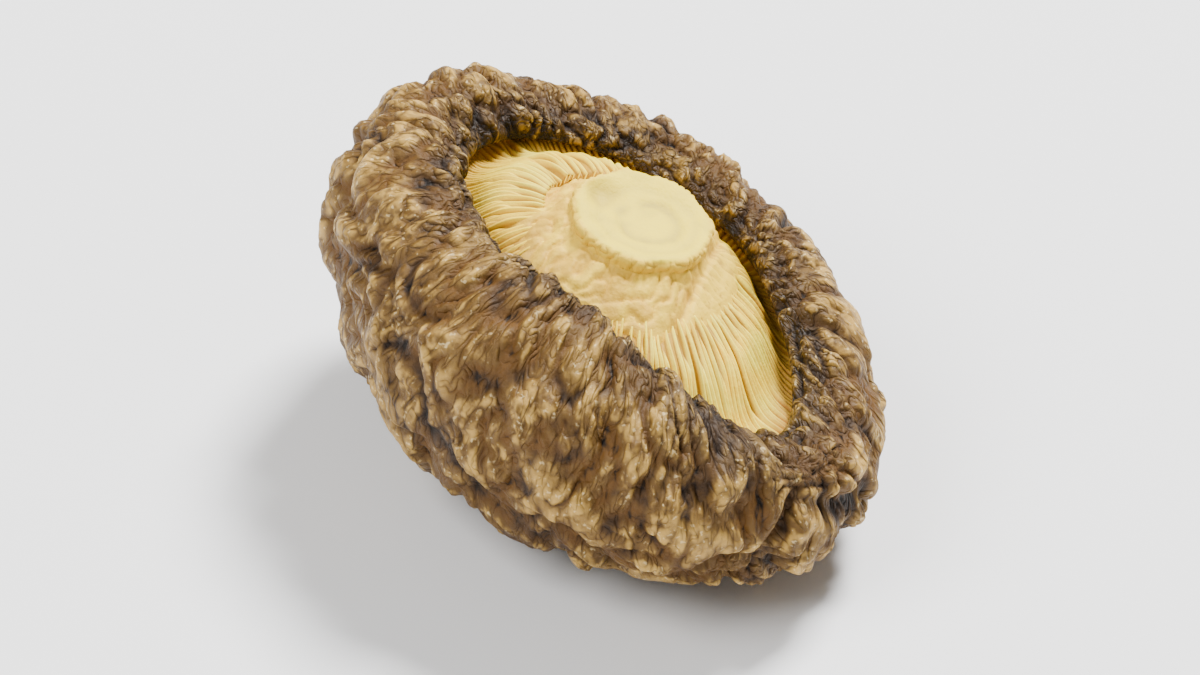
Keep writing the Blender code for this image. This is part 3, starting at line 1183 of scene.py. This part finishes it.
    def flesh(self, point: Vector, azimuth: float, value: float) -> tuple[float, float]:
        """The streaks down the side and the crumpled spread.

        Args:
            point: The point about the stem's own axis.
            azimuth: Its direction round the stem, in radians.
            value: Its place along the profile.

        Returns:
            A crinkle from 0 in its folds to 1 on its tops, for the streaks and for the crumple.
        """
        run = around(azimuth, self.streak_round) + Vector((0.0, 0.0, value * self.streak_along))
        push = swirl(point / self.crumple_swirl) * self.crumple_push
        return crinkle(run, self.streak_cell), crinkle(point / MM + push, self.crumple_cell)

    def cut_marks(self, point: Vector, azimuth: float) -> tuple[float, float]:
        """How strongly the cut's broken rings and its dent are felt."""
        waver = self.ring_waver * noise.noise(around(azimuth, self.waver_round))
        breaks = noise.noise(around(azimuth, self.break_round) + RING_PLACE)
        strength = self.ring_share + self.ring_break * breaks
        away = math.hypot(point.x - self.ring_centre[0], point.y - self.ring_centre[1])
        ring = strength * bell(away - self.ring_radius - waver, self.ring_width)
        outer = away - self.outer_ring * self.ring_radius + waver
        ring += self.outer_ring_share * bell(outer, self.outer_ring_width)
        away = math.hypot(point.x - self.dent_centre[0], point.y - self.dent_centre[1])
        return ring, bell(away, self.dent_radius)

    def dressed(self, point: Vector, normal: Vector, value: float) -> tuple[Vector, dict[str, float]]:
        """Gives a point of the turned stem its relief and sets it down.

        Args:
            point: The point of the turned form.
            normal: The form's normal there.
            value: Its place along the profile.

        Returns:
            The point in the frame, and the numbers that the finish reads there.
        """
        form = self.form
        azimuth = math.atan2(point.y, point.x)
        spreading = between(value, self.spread_starts, self.spread_ends)
        if spreading > 0.0:
            share = min(1.0, max(0.0, value - 2.0))
            point = point.lerp(self.spread_place(azimuth, share), spreading)
        on_cut = 1.0 - smoothstep(*self.cut_ends, value)
        on_side = (1.0 - on_cut) * (1.0 - smoothstep(*self.side_ends, value))
        beyond = self.beyond_crease(point)
        crumpled = spreading * (1.0 - smoothstep(-self.crease_edge, self.crease_edge, beyond))
        crease = spreading * bell(beyond, self.crease_width)
        streak, crumple = self.flesh(point, azimuth, value)
        relief = self.streak_depth * (streak - self.level)
        relief += crumpled * self.crumple_depth * (crumple - self.level)
        fibre = sum(depth * math.sin(count * azimuth + phase) for count, phase, depth in self.fibres)
        ring, dent = (mark * on_cut for mark in self.cut_marks(point, azimuth))
        height = on_side * (relief + fibre * (1.0 - spreading)) - self.crease_depth * crease
        height += self.lump_depth * noise.noise(point / self.lump_size) * on_cut
        height -= self.ring_depth * ring + self.dent_depth * dent
        up = Vector((0.0, 0.0, 1.0))
        free = smoothstep(self.round_start, self.round_end, point.z - form.bed_height(0.0))
        raised = point + up * self.slant * point.x * free + normal.lerp(up, spreading) * height
        placed = raised.lerp(form.unstretch @ raised, free) + Vector(form.stem_offset)
        left = felt(math.degrees(azimuth), self.shade_azimuth, self.shade_half_width)
        top = lerp(streak, crumple, self.crumple_tone * crumpled)
        marks = {
            "cut": on_cut,
            # The cut's rings are its own colour; the dent adds painted shade.
            "ring": min(1.0, max(0.0, ring) + self.dent_shade * dent),
            "ridge": top * (1.0 - self.crease_shade * crease),
            "foot": crumpled,
            "shaded": spreading * left * smoothstep(*self.shade_starts, value),
        }
        return form.settle(placed), marks

    def build(self) -> None:
        """Builds the stem and dresses it."""
        mesh = ring_section(self.profile(), self.steps)
        along = [item.value for item in mesh.attributes["along"].data]
        normals = [vertex.normal.copy() for vertex in mesh.vertices]
        marks = {name: [] for name in ("cut", "ring", "ridge", "foot", "shaded")}
        for vertex, normal, value in zip(mesh.vertices, normals, along):
            vertex.co, numbers = self.dressed(vertex.co.copy(), normal, value)
            for name, number in numbers.items():
                marks[name].append(number)
        for name, values in marks.items():
            keep_numbers(mesh, name, values)
        mesh.attributes.remove(mesh.attributes["along"])
        finish_piece("cut_stem", mesh, self.finish.material(), "stem")


@dataclass(frozen=True)
class Lamp:
    """A soft square light that faces the mushroom.

    Azimuth is in degrees from +X towards +Y, elevation in degrees over the floor, size in metres and
    power in watts.
    """

    azimuth: float
    elevation: float
    size: float
    power: float


@dataclass
class Studio:
    """A plain pale floor, soft lights, and the camera at the photograph's angle."""

    elevation: float = math.radians(38.0)
    distance: float = 0.8
    lens: float = 375.0
    target: Triple = (0.0, 0.0, 10.0 * MM)
    near_clip: float = 0.01
    floor_size: float = 3.0
    floor_drop: float = 0.02 * MM
    floor_colour: Colour = paint(246, 246, 246)
    floor_roughness: float = 0.9
    key: Lamp = Lamp(52.0, 56.0, 0.2, 13.8)
    fill: Lamp = Lamp(215.0, 50.0, 0.4, 5.0)
    lamp_distance: float = 0.7
    room_light: float = 0.32

    def floor(self) -> None:
        """Adds the floor."""
        bm = bmesh.new()
        bmesh.ops.create_grid(bm, x_segments=1, y_segments=1, size=self.floor_size / 2)
        bmesh.ops.translate(bm, vec=(0.0, 0.0, -self.floor_drop), verts=bm.verts[:])
        mesh = as_mesh("floor", bm)
        web = NodeWeb("pale_floor")
        mesh.materials.append(web.dress(Base_Color=self.floor_colour, Roughness=self.floor_roughness))
        floor = add_object("floor", mesh)

    def light(self, name: str, lamp: Lamp) -> None:
        """Adds a light.

        Args:
            name: The light's name.
            lamp: Where it stands, how large it is and how strong.
        """
        light = bpy.data.lights.new(name, "AREA")
        light.shape = "SQUARE"
        light.size = lamp.size
        light.energy = lamp.power
        holder = add_object(name, light)
        up = math.radians(lamp.elevation)
        away = around(math.radians(lamp.azimuth), math.cos(up)) + Vector((0.0, 0.0, math.sin(up)))
        holder.location = Vector(self.target) + away * self.lamp_distance
        holder.rotation_euler = away.to_track_quat("Z", "Y").to_euler()

    def world(self) -> None:
        """Adds even, pale light from all round."""
        world = bpy.data.worlds.new("pale_room")
        world.use_nodes = True
        back = world.node_tree.nodes["Background"]
        back.inputs["Color"].default_value = (1.0, 1.0, 1.0, 1.0)
        back.inputs["Strength"].default_value = self.room_light
        bpy.context.scene.world = world

    def camera(self) -> None:
        """Adds the camera, looking along +Y and down."""
        lens = bpy.data.cameras.new("camera")
        lens.lens = self.lens
        lens.clip_start = self.near_clip
        camera = add_object("camera", lens)
        back = Vector((0.0, -math.cos(self.elevation), math.sin(self.elevation)))
        camera.location = Vector(self.target) + back * self.distance
        camera.rotation_euler = Euler((math.pi / 2 - self.elevation, 0.0, 0.0))
        bpy.context.scene.camera = camera

    def build(self) -> None:
        """Sets up the floor, the lights and the camera."""
        self.floor()
        self.world()
        self.light("key", self.key)
        self.light("fill", self.fill)
        self.camera()


def main() -> None:
    """Builds the studio and the pieces in order."""
    logging.basicConfig(level=logging.INFO)
    Studio().build()
    Cap().build()
    Gills().build()
    Stem().build()


if __name__ == "__main__":
    main()
